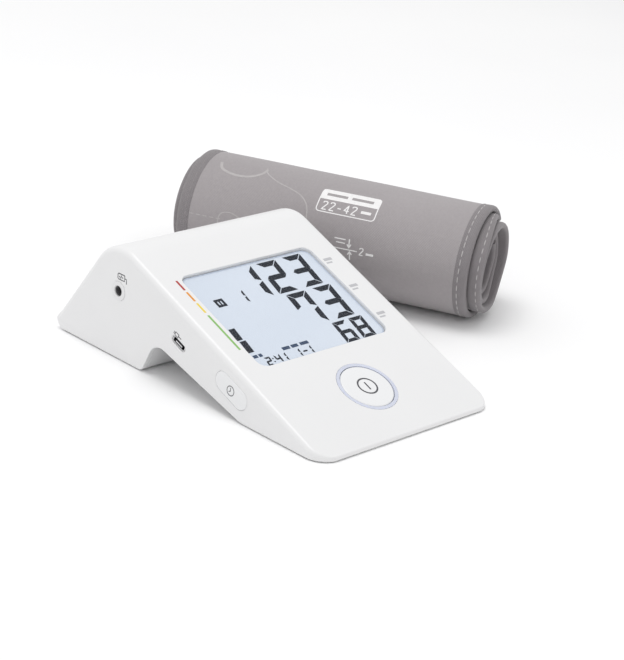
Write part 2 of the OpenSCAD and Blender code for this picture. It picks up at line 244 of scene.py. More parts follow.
def cut(piece, cutters):
    """Exact holes through a piece; the cutting solids are removed afterwards."""
    for cutter in cutters:
        modifier = piece.modifiers.new("cut", "BOOLEAN")
        modifier.operation = "DIFFERENCE"
        modifier.solver = "EXACT"
        modifier.object = cutter
    bpy.context.view_layer.update()
    graph = bpy.context.evaluated_depsgraph_get()
    result = bpy.data.meshes.new_from_object(piece.evaluated_get(graph))
    piece.modifiers.clear()
    old = piece.data
    piece.data = result
    bpy.data.meshes.remove(old)
    for cutter in cutters:
        bpy.data.objects.remove(cutter)


def tube(name, points, radius, material, sides):
    """A round bead through a list of points in metres; radius in mm."""
    rings = []
    for i, point in enumerate(points):
        before = points[max(i - 1, 0)]
        after = points[min(i + 1, len(points) - 1)]
        along = (Vector(after) - Vector(before)).normalized()
        side = along.cross(Vector((0.13, 0.31, 0.94))).normalized()
        up = side.cross(along)
        turns = [2 * math.pi * k / sides for k in range(sides)]
        rings.append([Vector(point) + (side * math.cos(a) + up * math.sin(a)) * radius * MM for a in turns])
    return solid_through(name, rings, material, 60.0)


def finish_piece(piece, body, slot, *nodes):
    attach(piece, body)
    if nodes:
        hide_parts(*nodes)


# --- Materials ---------------------------------------------------------------------------
def new_material(name):
    material = bpy.data.materials.new(name)
    material.use_nodes = True
    tree = material.node_tree
    shader = tree.nodes["Principled BSDF"]
    coords = tree.nodes.new("ShaderNodeTexCoord")
    return material, tree, shader, coords


def preset(node, values):
    for label, value in values.items():
        node.inputs[label].default_value = value


def noise_node(tree, coords, scale, detail=4.0):
    node = tree.nodes.new("ShaderNodeTexNoise")
    preset(node, {"Scale": scale, "Detail": detail})
    tree.links.new(coords.outputs["Object"], node.inputs["Vector"])
    return node


def tint_between(tree, shader, factor, dark, light, low=0.35, high=0.65):
    """A base colour that runs between two tints as the factor rises."""
    ramp = tree.nodes.new("ShaderNodeValToRGB")
    ramp.color_ramp.elements[0].position = low
    ramp.color_ramp.elements[1].position = high
    ramp.color_ramp.elements[0].color = (*dark, 1)
    ramp.color_ramp.elements[1].color = (*light, 1)
    tree.links.new(factor, ramp.inputs["Fac"])
    tree.links.new(ramp.outputs["Color"], shader.inputs["Base Color"])
    return ramp


def bump(tree, height, shader, strength, distance):
    node = tree.nodes.new("ShaderNodeBump")
    preset(node, {"Strength": strength, "Distance": distance * MM})
    tree.links.new(height, node.inputs["Height"])
    tree.links.new(node.outputs["Normal"], shader.inputs["Normal"])
    return node


def moulded(name, colour, roughness=0.42, vary=0.02, grain=0.04, coat=0.0):
    """Moulded plastic: a fine spark-eroded grain, and slight drift in colour and gloss."""
    material, tree, shader, coords = new_material(name)
    drift = noise_node(tree, coords, 28.0)
    dark = tuple(max(0.0, c * (1 - vary)) for c in colour)
    light = tuple(min(1.0, c * (1 + vary)) for c in colour)
    tint_between(tree, shader, drift.outputs["Fac"], dark, light)
    gloss = tree.nodes.new("ShaderNodeMapRange")
    preset(gloss, {"To Min": roughness - 0.05, "To Max": roughness + 0.06})
    patches = noise_node(tree, coords, 90.0)
    tree.links.new(patches.outputs["Fac"], gloss.inputs["Value"])
    tree.links.new(gloss.outputs["Result"], shader.inputs["Roughness"])
    fine = noise_node(tree, coords, 2600.0, 2.0)
    bump(tree, fine.outputs["Fac"], shader, grain, 0.05)
    preset(shader, {"Coat Weight": coat, "Coat Roughness": 0.12})
    return material


def metal(name, colour, roughness=0.3):
    """Plated metal with faint brushing."""
    material, tree, shader, coords = new_material(name)
    stretch = tree.nodes.new("ShaderNodeMapping")
    stretch.inputs["Scale"].default_value = (40, 900, 900)
    tree.links.new(coords.outputs["Object"], stretch.inputs["Vector"])
    brush = tree.nodes.new("ShaderNodeTexNoise")
    brush.inputs["Scale"].default_value = 3.0
    tree.links.new(stretch.outputs["Vector"], brush.inputs["Vector"])
    dark = tuple(c * 0.85 for c in colour)
    tint_between(tree, shader, brush.outputs["Fac"], dark, colour)
    bump(tree, brush.outputs["Fac"], shader, 0.15, 0.05)
    preset(shader, {"Metallic": 1.0, "Roughness": roughness})
    return material


def clear_sheet(name, colour, alpha, roughness):
    """A thin clear moulding, drawn as a faint tint with a soft reflection."""
    material, tree, shader, coords = new_material(name)
    haze = noise_node(tree, coords, 60.0)
    dark = tuple(c * 0.94 for c in colour)
    tint_between(tree, shader, haze.outputs["Fac"], dark, colour)
    preset(shader, {"Alpha": alpha, "Roughness": roughness})
    return material


def frosted(name, colour, painted_glow):
    """A light guide: milky plastic that passes light, with a faint painted glow: its emission brightens it as
    if lit from behind.
    """
    material, tree, shader, coords = new_material(name)
    cloud = noise_node(tree, coords, 120.0)
    dark = tuple(c * 0.94 for c in colour)
    ramp = tint_between(tree, shader, cloud.outputs["Fac"], dark, colour)
    tree.links.new(ramp.outputs["Color"], shader.inputs["Emission Color"])
    preset(shader, {"Emission Strength": painted_glow, "Roughness": 0.28, "Subsurface Weight": 0.2,
                    "Subsurface Radius": (0.002, 0.002, 0.0025)})
    return material


def display_back(name):
    """The reflector behind the liquid crystal: pale blue, drifting a little in tone."""
    material, tree, shader, coords = new_material(name)
    drift = noise_node(tree, coords, 16.0, 1.0)
    tint_between(
        tree, shader, drift.outputs["Fac"], (0.60, 0.665, 0.76), (0.69, 0.745, 0.825), 0.2, 0.8
    )
    grain = noise_node(tree, coords, 3200.0, 1.0)
    bump(tree, grain.outputs["Fac"], shader, 0.05, 0.03)
    shader.inputs["Roughness"].default_value = 0.55
    return material


def printed(name, colour, roughness=0.5, shine=0.3):
    """Screen-printed ink with slightly uneven cover."""
    material, tree, shader, coords = new_material(name)
    cover = noise_node(tree, coords, 700.0)
    light = tuple(min(1.0, c * 1.06 + 0.004) for c in colour)
    tint_between(tree, shader, cover.outputs["Fac"], colour, light)
    bump(tree, cover.outputs["Fac"], shader, 0.1, 0.02)
    preset(shader, {"Roughness": roughness, "Specular IOR Level": shine})
    return material


def math_node(tree, operation, *values):
    """The output of a maths node; each value is another node's output or a number."""
    node = tree.nodes.new("ShaderNodeMath")
    node.operation = operation
    for socket, value in zip(node.inputs, values):
        if isinstance(value, float):
            socket.default_value = value
        else:
            tree.links.new(value, socket)
    return node.outputs[0]


def woven(name, dark, light, pitch=0.42, roughness=0.82, sheen=0.25, relief=0.5):
    """Plain-weave cloth. The piece's UV map is in millimetres along and across the sheet."""
    material, tree, shader, coords = new_material(name)
    split = tree.nodes.new("ShaderNodeSeparateXYZ")
    tree.links.new(coords.outputs["UV"], split.inputs["Vector"])
    waves = [
        math_node(tree, "SINE", math_node(tree, "MULTIPLY", split.outputs[axis], math.pi / pitch))
        for axis in ("X", "Y")
    ]
    weave = math_node(tree, "MULTIPLY_ADD", *waves, 0.5)
    drift = noise_node(tree, coords, 22.0)
    mottle = noise_node(tree, coords, 900.0, 2.0)
    both = math_node(tree, "ADD", drift.outputs["Fac"], mottle.outputs["Fac"])
    half = math_node(tree, "MULTIPLY", both, 0.5)
    shade = math_node(tree, "MULTIPLY_ADD", weave, 0.12, half)
    tint_between(tree, shader, shade, dark, light, 0.1, 1.0)
    bump(tree, weave, shader, relief, 0.08)
    preset(shader, {"Roughness": roughness, "Sheen Weight": sheen, "Sheen Roughness": 0.5})
    return material


def napped(name, dark, light, scale=1500.0, strength=0.8):
    """Loop or hook tape: a dense, uneven nap."""
    material, tree, shader, coords = new_material(name)
    nap = tree.nodes.new("ShaderNodeTexVoronoi")
    nap.inputs["Scale"].default_value = scale
    tree.links.new(coords.outputs["Object"], nap.inputs["Vector"])
    tint_between(tree, shader, nap.outputs["Distance"], light, dark, 0.1, 0.7)
    bump(tree, nap.outputs["Distance"], shader, strength, 0.3)
    preset(shader, {"Roughness": 0.95, "Sheen Weight": 0.5})
    return material


WHITE_SHELL = moulded("white_shell", (0.795, 0.795, 0.80), 0.36, 0.006, 0.03, 0.08)
WHITE_BASE = moulded("white_base", (0.765, 0.765, 0.77), 0.48, 0.01, 0.08)
WHITE_BUTTON = moulded("white_button", (0.81, 0.815, 0.825), 0.32, 0.006, 0.02, 0.15)
GREY_MOULDING = moulded("grey_moulding", (0.52, 0.53, 0.56), 0.45, 0.03)
DARK_MOULDING = moulded("dark_moulding", (0.035, 0.036, 0.04), 0.5, 0.1, 0.1)
SOFT_RUBBER = moulded("soft_rubber", (0.12, 0.12, 0.125), 0.75, 0.05, 0.2)
CIRCUIT_GREEN = moulded("circuit_green", (0.02, 0.17, 0.08), 0.35, 0.08, 0.1)
FLAT_RIBBON = moulded("flat_ribbon", (0.62, 0.62, 0.60), 0.5, 0.03)
SILICONE = clear_sheet("clear_silicone", (0.85, 0.86, 0.86), 0.6, 0.4)
SENSOR_CERAMIC = moulded("sensor_ceramic", (0.75, 0.74, 0.70), 0.6, 0.04, 0.1)
PLATED_STEEL = metal("plated_steel", (0.66, 0.66, 0.67), 0.28)
CELL_JACKET = moulded("cell_jacket", (0.05, 0.16, 0.10), 0.35, 0.05)
WINDOW_CLEAR = clear_sheet("clear_window", (0.80, 0.85, 0.93), 0.025, 0.12)
# The light ring and the light guide carry a faint painted glow (emission).
LIGHT_RING = frosted("light_ring", (0.62, 0.65, 0.76), 0.03)
LIGHT_GUIDE = frosted("light_guide", (0.80, 0.86, 0.95), 0.05)
DISPLAY_BACK = display_back("display_glass")
SEGMENT_INK = printed("segment_ink", (0.002, 0.004, 0.010), 0.6, 0.03)
BLUE_INK = printed("blue_ink", (0.03, 0.055, 0.11), 0.6, 0.05)
ICON_INK = printed("icon_ink", (0.10, 0.10, 0.11), 0.6, 0.1)
PALE_INK = printed("pale_ink", (0.48, 0.48, 0.50), 0.5)
RED_INK = printed("red_ink", (0.42, 0.055, 0.05), 0.5)
ORANGE_INK = printed("orange_ink", (0.72, 0.30, 0.06), 0.5)
YELLOW_INK = printed("yellow_ink", (0.78, 0.60, 0.10), 0.5)
GREEN_INK = printed("green_ink", (0.24, 0.47, 0.14), 0.5)
CUFF_NYLON = woven("grey_nylon", (0.285, 0.262, 0.270), (0.395, 0.368, 0.376), 0.42)
CUFF_LINING = woven("grey_lining", (0.20, 0.18, 0.185), (0.28, 0.255, 0.26), 0.5, 0.9, 0.1)
HEM_WEBBING = woven("hem_webbing", (0.185, 0.170, 0.177), (0.262, 0.243, 0.251), 0.6, 0.85, 0.2, 0.8)
LOOP_PILE = napped("loop_pile", (0.22, 0.20, 0.205), (0.33, 0.31, 0.31))
HOOK_TAPE = napped("hook_tape", (0.17, 0.16, 0.16), (0.26, 0.245, 0.25), 900.0, 1.0)
PRINT_WHITE = printed("print_white", (0.80, 0.79, 0.79), 0.6)
PRINT_FAINT = printed("print_faint", (0.43, 0.41, 0.41), 0.7)
STITCH = printed("stitch_thread", (0.50, 0.48, 0.48), 0.8)
STITCH_DARK = printed("stitch_thread_dark", (0.27, 0.25, 0.255), 0.8)
BORDER_INK = printed("border_ink", (0.50, 0.56, 0.66), 0.5)
CUFF_GREY_INK = printed("cuff_grey_ink", (0.34, 0.32, 0.325), 0.7)


# --- The case ----------------------------------------------------------------------------
def corner_fillet(a, corner, b, radius):
    """Centre and the two tangent points of a fillet at a corner, in (y, z) mm."""
    at = Vector(corner)
    to_a = (Vector(a) - at).normalized()
    to_b = (Vector(b) - at).normalized()
    half = to_a.angle(to_b) / 2
    reach = radius / math.tan(half)
    middle = (to_a + to_b).normalized()
    return at + middle * (radius / math.sin(half)), at + to_a * reach, at + to_b * reach


def line_z(a, b, y):
    return a[1] + (b[1] - a[1]) * (y - a[0]) / (b[0] - a[0])


def filleted_z(points, radii, y):
    """Height at y of a chain of straight lines whose inner corners have fillets."""
    for i in range(1, len(points) - 1):
        centre, start, end = corner_fillet(points[i - 1], points[i], points[i + 1], radii[i - 1])
        if start.x < y < end.x:
            above = centre.y < points[i][1]
            rise = math.sqrt(max(radii[i - 1] ** 2 - (y - centre.x) ** 2, 0.0))
            return centre.y + (rise if above else -rise)
    for a, b in zip(points[:-1], points[1:]):
        if a[0] <= y <= b[0]:
            return line_z(a, b, y)
    return points[-1][1]


def slope_angle(a, b):
    return math.atan2(b[1] - a[1], b[0] - a[0])


heel_centre, _, heel_high = corner_fillet(ARCH_BACK, HEEL, RIDGE, HEEL_R)
HEEL_END = heel_centre.x + HEEL_R


def top_z(y):
    """The case's upper surface over the table, in mm."""
    if y < NOSE[0] + NOSE_TOP_R:
        drop = NOSE_TOP_R - math.sqrt(max(NOSE_TOP_R**2 - (NOSE[0] + NOSE_TOP_R - y) ** 2, 0.0))
        return line_z(NOSE, RIDGE, NOSE[0] + NOSE_TOP_R) - drop
    if y > heel_high.x:
        return heel_centre.y + math.sqrt(max(HEEL_R**2 - (y - heel_centre.x) ** 2, 0.0))
    return filleted_z((NOSE, RIDGE, HEEL), (RIDGE_R,), y)


def low_z(y):
    """The lower edge of the case's side, with the arch that a finger fits under."""
    if y > heel_centre.x:
        return heel_centre.y - math.sqrt(max(HEEL_R**2 - (y - heel_centre.x) ** 2, 0.0))
    if y < NOSE[0] + NOSE_LOW_R:
        rise = NOSE_LOW_R - math.sqrt(max(NOSE_LOW_R**2 - (NOSE[0] + NOSE_LOW_R - y) ** 2, 0.0))
        return FOOT_GAP + rise
    return filleted_z(ARCH, ARCH_RADII, y)


def side_reach(y):
    """Half the case's width at y: the front corners are round in plan."""
    near = y - NOSE[0]
    if near >= CORNER_R:
        return HALF_W
    return HALF_W - CORNER_R + math.sqrt(CORNER_R**2 - (CORNER_R - near) ** 2)


def case_stations():
    """Sections along y, close together round every curve."""
    ys = {NOSE[0] + CORNER_R * (1 - math.cos(math.radians(a))) for a in range(0, 91, 6)}
    ys |= {NOSE[0] + NOSE_TOP_R * k / 6 for k in range(7)}
    fillets = [(ARCH, i, r) for i, r in enumerate(ARCH_RADII, 1)]
    fillets.append(((NOSE, RIDGE, HEEL), 1, RIDGE_R))
    for points, i, radius in fillets:
        _, start, end = corner_fillet(points[i - 1], points[i], points[i + 1], radius)
        steps = 20 if radius == RIDGE_R else 8
        ys |= {start.x + (end.x - start.x) * k / steps for k in range(steps + 1)}
    turn = math.degrees(math.acos((heel_high.x - heel_centre.x) / HEEL_R))
    ys |= {heel_centre.x + HEEL_R * math.cos(math.radians(turn * k / 8)) for k in range(9)}
    ys |= {heel_centre.x + HEEL_R * math.cos(math.radians(90 * k / 8)) for k in range(9)}
    spread = sorted(ys)
    kept = [spread[0]]
    for y in spread[1:]:
        if y - kept[-1] > 0.02:
            kept.append(y)
    return kept


def edge_round(y):
    """Radius of the rounding between the top and the sides, small at the nose."""
    return min(EDGE_R, 0.35 + (top_z(y) - low_z(y)) * 0.35)


def case_ring(y):
    """One section of the case as (x, y, z), round from the lower left to the lower right."""
    reach = side_reach(y)
    radius = edge_round(y)
    step = 0.01
    back = min(y + step, HEEL_END)
    front = max(y - step, NOSE[0])
    slope = math.atan2(top_z(back) - top_z(front), back - front)
    stretch = 1 / max(math.cos(slope), 0.45)
    low = low_z(y)
    high = max(top_z(y), low + 0.02)
    foot = min(0.35, (high - low) * 0.2)
    half = [(reach - foot, low), (reach - foot * 0.3, low + foot * 0.3), (reach, low + foot)]
    for k in range(7):
        a = math.radians(90 * k / 6)
        inset = min(radius * (1 - math.sin(a)) * stretch, (high - low) * 0.6)
        half.append((reach - radius * (1 - math.cos(a)), high - inset))
    left = [(-x, y, z) for x, z in half]
    right = [(x, y, z) for x, z in reversed(half)]
    return left + right


def cavity_cutter():
    """The hollow under the case's roof, down past its open bottom."""
    angle_face = slope_angle(NOSE, RIDGE)
    angle_rear = slope_angle(RIDGE, HEEL)
    drop_face = WALL / math.cos(angle_face)
    drop_rear = WALL / math.cos(angle_rear)
    low_point = (CAVITY_FRONT, line_z(NOSE, RIDGE, CAVITY_FRONT) - drop_face)
    far_point = (CAVITY_BACK, line_z(RIDGE, HEEL, CAVITY_BACK) - drop_rear)
    grade_face = math.tan(angle_face)
    grade_rear = math.tan(angle_rear)
    peak_y = (far_point[1] - low_point[1] + grade_face * low_point[0] - grade_rear * far_point[0]) / (
        grade_face - grade_rear
    )
    peak = (peak_y, low_point[1] + grade_face * (peak_y - low_point[0]))
    _, start, end = corner_fillet(low_point, peak, far_point, RIDGE_R - WALL)
    outline = [(CAVITY_FRONT, -5.0), (CAVITY_BACK, -5.0), far_point]
    for k in range(17):
        y = end.x + (start.x - end.x) * k / 16
        outline.append((y, filleted_z((low_point, peak, far_point), (RIDGE_R - WALL,), y)))
    outline.append(low_point)
    rings = [[(x, y, z) for y, z in outline] for x in (-INNER_HALF_W, INNER_HALF_W)]
    return stacked("cavity", rings, Matrix.Identity(4), WHITE_SHELL)


def stadium(length, width, steps=12):
    """A rounded bar's outline along the first axis, in mm."""
    radius = width / 2
    straight = length / 2 - radius
    points = []
    for k in range(steps + 1):
        a = math.radians(-90 + 180 * k / steps)
        points.append((straight + radius * math.cos(a), radius * math.sin(a)))
    for k in range(steps + 1):
        a = math.radians(90 + 180 * k / steps)
        points.append((-straight + radius * math.cos(a), radius * math.sin(a)))
    return points


def face_place(x, s, depth=0.0):
    """A frame on the display face: local x across, y up the slope, z out of the face."""
    return FACE_MATRIX @ Matrix.Translation((x * MM, s * MM, -depth * MM))


def side_place(s, depth):
    """A frame on the left side: local x up the slope, y away from the face, z out to the left."""
    turn = Matrix(((0, 0, -1, 0), (1, 0, 0, 0), (0, -1, 0, 0), (0, 0, 0, 1)))
    return FACE_MATRIX @ Matrix.Translation((-HALF_W * MM, s * MM, -depth * MM)) @ turn


def flat_side_place(y, z):
    """A frame on the left side, level: local x to the back, y down, z out to the left."""
    turn = Matrix(((0, 0, -1, 0), (1, 0, 0, 0), (0, -1, 0, 0), (0, 0, 0, 1)))
    return Matrix.Translation((-HALF_W * MM, y * MM, z * MM)) @ turn


def mouth(name, outline, place, depth, flare=0.3):
    """A cutter with a slightly flared mouth, so the hole's edge is soft."""
    def grown(extra):
        reach = max(math.hypot(x, y) for x, y in outline)
        return [(x * (1 + extra / reach), y * (1 + extra / reach)) for x, y in outline]
    rings = []
    for extra, height in ((flare + 0.5, 0.5), (flare, 0.0), (flare * 0.3, -flare * 0.5),
                          (0.0, -flare), (0.0, -depth)):
        rings.append([(x, y, height) for x, y in grown(extra)])
    return stacked(name, rings, place, WHITE_SHELL)


def make_top_cover():
    rings = [case_ring(y) for y in case_stations()]
    cover = stacked("top_cover_shell", rings, Matrix.Identity(4), WHITE_SHELL, 30.0)
    cutters = [
        cavity_cutter(),
        mouth("window_cut", rounded_rect(WINDOW_W + 0.5, WINDOW_H + 0.5, WINDOW_R + 0.2),
              face_place(WINDOW_X, WINDOW_S), 4.0, 0.25),
        mouth("ring_cut", circle(RING_R + 0.08), face_place(START_X, START_S), 4.0, 0.12),
        mouth("clock_cut", stadium(CLOCK_L + 0.12, CLOCK_H + 0.12),
              side_place(CLOCK_S, CLOCK_DEPTH), 4.0, 0.05),
        mouth("usb_cut", stadium(8.4, 3.3), side_place(USB_S, USB_DEPTH), 4.0, 0.35),
        mouth("jack_cut", circle(4.05), flat_side_place(JACK_Y, JACK_Z), 4.0, 0.04),
    ]
    cut(cover, cutters)
    fix_normals(cover, 30.0)
    weighted(cover)
    finish_piece(cover, "monitor", "white_shell", "top_cover")


# --- The display -------------------------------------------------------------------------
SEGMENTS = {
    "0": "abcdef", "1": "bc", "2": "abged", "3": "abgcd", "4": "fgbc", "6": "afgedc",
    "7": "fabc", "8": "abcdefg", "-": "g",
}
LCD_SLANT = 0.1
LCD_TOP = 1.40
LCD_BOTTOM = 1.44


def slanted(outline, base):
    return [(x + (s - base) * LCD_SLANT, s) for x, s in outline]


def digit_outlines(sign, left, base, width, height, thick):
    """The lit segments of one seven-segment figure, mitred where they meet."""
    gap = thick * 0.09
    l, r, b, t = left, left + width, base, base + height
    m = (b + t) / 2
    half = thick / 2

    def upright(outer, inner, low, high, low_cut, high_cut):
        return [(outer, low), (inner, low + low_cut), (inner, high - high_cut), (outer, high)]

    places = {
        "a": [(l + gap, t), (l + gap + thick, t - thick), (r - gap - thick, t - thick), (r - gap, t)],
        "d": [(l + gap, b), (r - gap, b), (r - gap - thick, b + thick), (l + gap + thick, b + thick)],
        "b": upright(r, r - thick, m + gap, t - gap, half, thick),
        "c": upright(r, r - thick, b + gap, m - gap, thick, half),
        "f": upright(l, l + thick, m + gap, t - gap, half, thick),
        "e": upright(l, l + thick, b + gap, m - gap, thick, half),
        "g": [(l + gap, m), (l + gap + half, m - half), (r - gap - half, m - half), (r - gap, m),
              (r - gap - half, m + half), (l + gap + half, m + half)],
    }
    return [slanted(places[k], base) for k in SEGMENTS[sign]]


def lcd_slabs(name, outlines, ink, top=LCD_TOP, bottom=LCD_BOTTOM):
    """Flat printed or lit shapes on the display, one solid each, as one piece."""
    place = face_place(0, 0)
    parts = [
        slab(f"{name}_{k}", outline, -bottom, -top, place, ink) for k, outline in enumerate(outlines)
    ]
    return joined(name, parts)


def box_outline(x0, x1, s0, s1):
    return [(x0, s0), (x1, s0), (x1, s1), (x0, s1)]


def frame_outlines(x0, x1, s0, s1, line):
    return [
        box_outline(x0, x1, s0, s0 + line), box_outline(x0, x1, s1 - line, s1),
        box_outline(x0, x0 + line, s0 + line, s1 - line), box_outline(x1 - line, x1, s0 + line, s1 - line),
    ]


def make_display():
    figures = (
        ("1", -11.0, 80.8, 10.0, 18.6, 2.8), ("2", 2.0, 80.8, 10.6, 18.6, 2.8),
        ("3", 16.4, 80.8, 10.2, 18.6, 2.8),
        ("7", 2.2, 60.6, 10.6, 18.8, 2.8), ("3", 16.8, 60.6, 10.2, 18.8, 2.8),
        ("6", 11.2, 47.2, 7.3, 12.0, 1.9), ("8", 20.5, 47.2, 7.3, 12.0, 1.9),
        ("1", -17.6, 80.8, 3.8, 7.2, 1.0),
        ("2", -31.4, 47.2, 2.9, 4.6, 0.8), ("4", -26.4, 47.2, 2.9, 4.6, 0.8),
        ("1", -23.4, 47.2, 2.9, 4.6, 0.8),
        ("1", -15.9, 47.2, 2.9, 4.6, 0.8), ("-", -12.0, 47.2, 2.7, 4.6, 0.8),
        ("1", -9.7, 47.2, 2.9, 4.6, 0.8),
    )
    lit = []
    for figure in figures:
        lit += digit_outlines(*figure)
    lit += [box_outline(-27.7, -27.1, 48.3, 48.9), box_outline(-27.5, -26.9, 50.0, 50.6)]
    lit += frame_outlines(-29.7, -25.1, 81.9, 86.3, 1.2)
    lit += [box_outline(-27.8, -27.0, 83.1, 85.1)]
    lit += [slanted(box_outline(-35.3, -32.2, s, s + 6.6), s) for s in (56.0, 63.3)]
    segments = lcd_slabs("lcd_segments", lit, SEGMENT_INK)
    finish_piece(segments, "monitor", "display_glass")
    words = [(-34.8, -32.6), (-31.9, -30.2), (-19.5, -15.6), (-14.7, -11.2), (-10.0, -5.6)]
    marks = lcd_slabs(
        "lcd_small_marks", [box_outline(x0, x1, 52.7, 54.3) for x0, x1 in words], BLUE_INK
    )
    finish_piece(marks, "monitor", "display_glass")


def make_window():
    outline = rounded_rect(WINDOW_W, WINDOW_H, WINDOW_R)
    window = slab("window_sheet", outline, -WINDOW_BOTTOM, -WINDOW_TOP,
                  face_place(WINDOW_X, WINDOW_S), WINDOW_CLEAR, 0.25)
    finish_piece(window, "monitor", "clear_window", "display_window")
    inner = rounded_rect(WINDOW_W - 1.5, WINDOW_H - 1.5, WINDOW_R - 0.7)
    border = ring_slab("window_border", rounded_rect(WINDOW_W - 0.1, WINDOW_H - 0.1, WINDOW_R),
                       inner, -1.41, -1.38, face_place(WINDOW_X, WINDOW_S), BORDER_INK)
    finish_piece(border, "monitor", "display_glass")


def ring_slab(name, outer, inner, low, high, place, material):
    """A flat closed ring between two outlines with the same number of points."""
    count = len(outer)
    rings = [(outer, low), (outer, high), (inner, high), (inner, low)]
    verts = [place @ (Vector((x, y, z)) * MM) for points, z in rings for x, y in points]
    faces = [face for k in range(4) for face in quads(k * count, (k + 1) % 4 * count, count)]
    piece = new_piece(name, verts, faces, material)
    fix_normals(piece, 40.0)
    return piece


def make_scale_and_labels():
    """The coloured pressure scale to the left of the window, and the row marks to its right."""
    steps = (
        ("scale_red", RED_INK, ((93.8, 99.6),)),
        ("scale_orange", ORANGE_INK, ((87.0, 92.6),)),
        ("scale_yellow", YELLOW_INK, ((80.0, 85.8),)),
        ("scale_green", GREEN_INK, ((57.7, 78.4),)),
    )
    for name, ink, spans in steps:
        outlines = [box_outline(-39.4, -38.4, s0, s1) for s0, s1 in spans]
        finish_piece(lcd_slabs(name, outlines, ink, -0.03, 0.02), "monitor", "white_shell")
    rows = []
    for s in (90.6, 73.4, 55.6):
        rows += [box_outline(35.2, 39.6, s, s + 1.5), box_outline(35.2, 38.4, s - 1.7, s - 0.9)]
    finish_piece(lcd_slabs("row_marks", rows, PALE_INK, -0.03, 0.02), "monitor", "white_shell")


# --- Buttons, sockets and their signs ------------------------------------------------------
def arc_points(radius, start, end, steps=48):
    return [
        (radius * math.cos(math.radians(start + (end - start) * k / steps)),
         radius * math.sin(math.radians(start + (end - start) * k / steps)))
        for k in range(steps + 1)
    ]


def ribbon(points, width):
    """The outline of a line of the given width through (x, y) points, for printed signs."""
    left, right = [], []
    for k, point in enumerate(points):
        before = Vector(points[max(k - 1, 0)])
        after = Vector(points[min(k + 1, len(points) - 1)])
        along = (after - before).normalized()
        across = Vector((-along.y, along.x)) * width / 2
        left.append(tuple(Vector(point) + across))
        right.append(tuple(Vector(point) - across))
    return right + left[::-1]


def line_piece(name, strokes, width, place, ink, height=0.03, lift=0.0, bed=0.02):
    """Printed strokes on a flat surface as one thin piece."""
    low, high = lift - bed, lift + height
    parts = []
    for k, stroke in enumerate(strokes):
        outline = ribbon(stroke, width)
        pairs = zip(outline[:len(stroke)], outline[len(stroke):][::-1])
        rings = [[(*right, low), (*right, high), (*left, high), (*left, low)] for right, left in pairs]
        parts.append(stacked(f"{name}_{k}", rings, place, ink, 40.0))
    return joined(name, parts)


def make_start_button():
    place = face_place(START_X, START_S)
    rings = [[(x, y, -1.6) for x, y in circle(START_R, 96)]]
    for k in range(7):
        a = math.radians(90 * k / 6)
        radius = START_R - 0.7 * (1 - math.cos(a))
        rings.append([(x, y, -0.55 + 0.6 * math.sin(a)) for x, y in circle(radius, 96)])
    for share in (0.8, 0.6, 0.4, 0.2):
        crown = 0.05 + 0.22 * (1 - share**2) - 0.22 * (1 - (10.5 / START_R) ** 2)
        rings.append([(x, y, crown) for x, y in circle(START_R * share, 96)])
    cap = stacked("start_button_cap", rings, place, WHITE_BUTTON, 50.0)
    finish_piece(cap, "start_button", "white_button", "start_button")
    sign = line_piece("start_sign", [arc_points(4.1, 0, 360, 64), [(0, -2.1), (0, 2.1)]], 0.7,
                      place, ICON_INK, lift=0.22, bed=0.12)
    finish_piece(sign, "start_button", "white_button")
    outer, inner = circle(RING_R, 96), circle(START_R + 0.22, 96)
    ring = ring_slab("start_ring_light", outer, inner, -2.9, 0.0, place, LIGHT_RING)
    finish_piece(ring, "monitor", "light_ring", "start_button_ring")


def make_clock_button():
    place = side_place(CLOCK_S, CLOCK_DEPTH)
    rings = [[(x, y, -2.4) for x, y in stadium(CLOCK_L, CLOCK_H)]]
    for k in range(6):
        a = math.radians(90 * k / 5)
        shrink = 0.55 * (1 - math.cos(a))
        outline = stadium(CLOCK_L - 2 * shrink, CLOCK_H - 2 * shrink)
        rings.append([(x, y, -0.28 + 0.5 * math.sin(a)) for x, y in outline])
    for share, rise in ((0.7, 0.3), (0.4, 0.36), (0.15, 0.38)):
        outline = stadium(CLOCK_L - CLOCK_H * (1 - share), CLOCK_H * share)
        rings.append([(x, y, rise) for x, y in outline])
    cap = stacked("clock_button_cap", rings, place, WHITE_BUTTON, 50.0)
    finish_piece(cap, "clock_button", "white_button", "clock_button")
    level = Matrix.Rotation(TILT, 4, "Z")
    strokes = [arc_points(1.95, 0, 360, 40), [(0, 0.15), (0, -1.3)], [(-0.12, 0.0), (1.0, 0.55)]]
    sign = line_piece("clock_sign", strokes, 0.34, place @ level, ICON_INK, lift=0.36, bed=0.15)
    finish_piece(sign, "clock_button", "white_button")


def make_jack_bore():
    """Painted shade: a dark liner just inside the socket's mouth and a dark disc at the bore's bottom stand
    in for the shade down the hole.
    """
    place = flat_side_place(JACK_Y, JACK_Z)
    sleeve = ring_slab("jack_shade_liner", circle(JACK_R - 0.02, 48), circle(JACK_R - 0.35, 48), -9.5, -0.35,
                       place, SOFT_RUBBER)
    finish_piece(sleeve, "monitor", "soft_rubber")
    # Painted shade: the dark disc at the bottom of the bore.
    end = slab("jack_shade_disc", circle(JACK_R - 0.36, 48), -9.7, -7.5, place, DARK_MOULDING)
    finish_piece(end, "monitor", "dark_moulding")


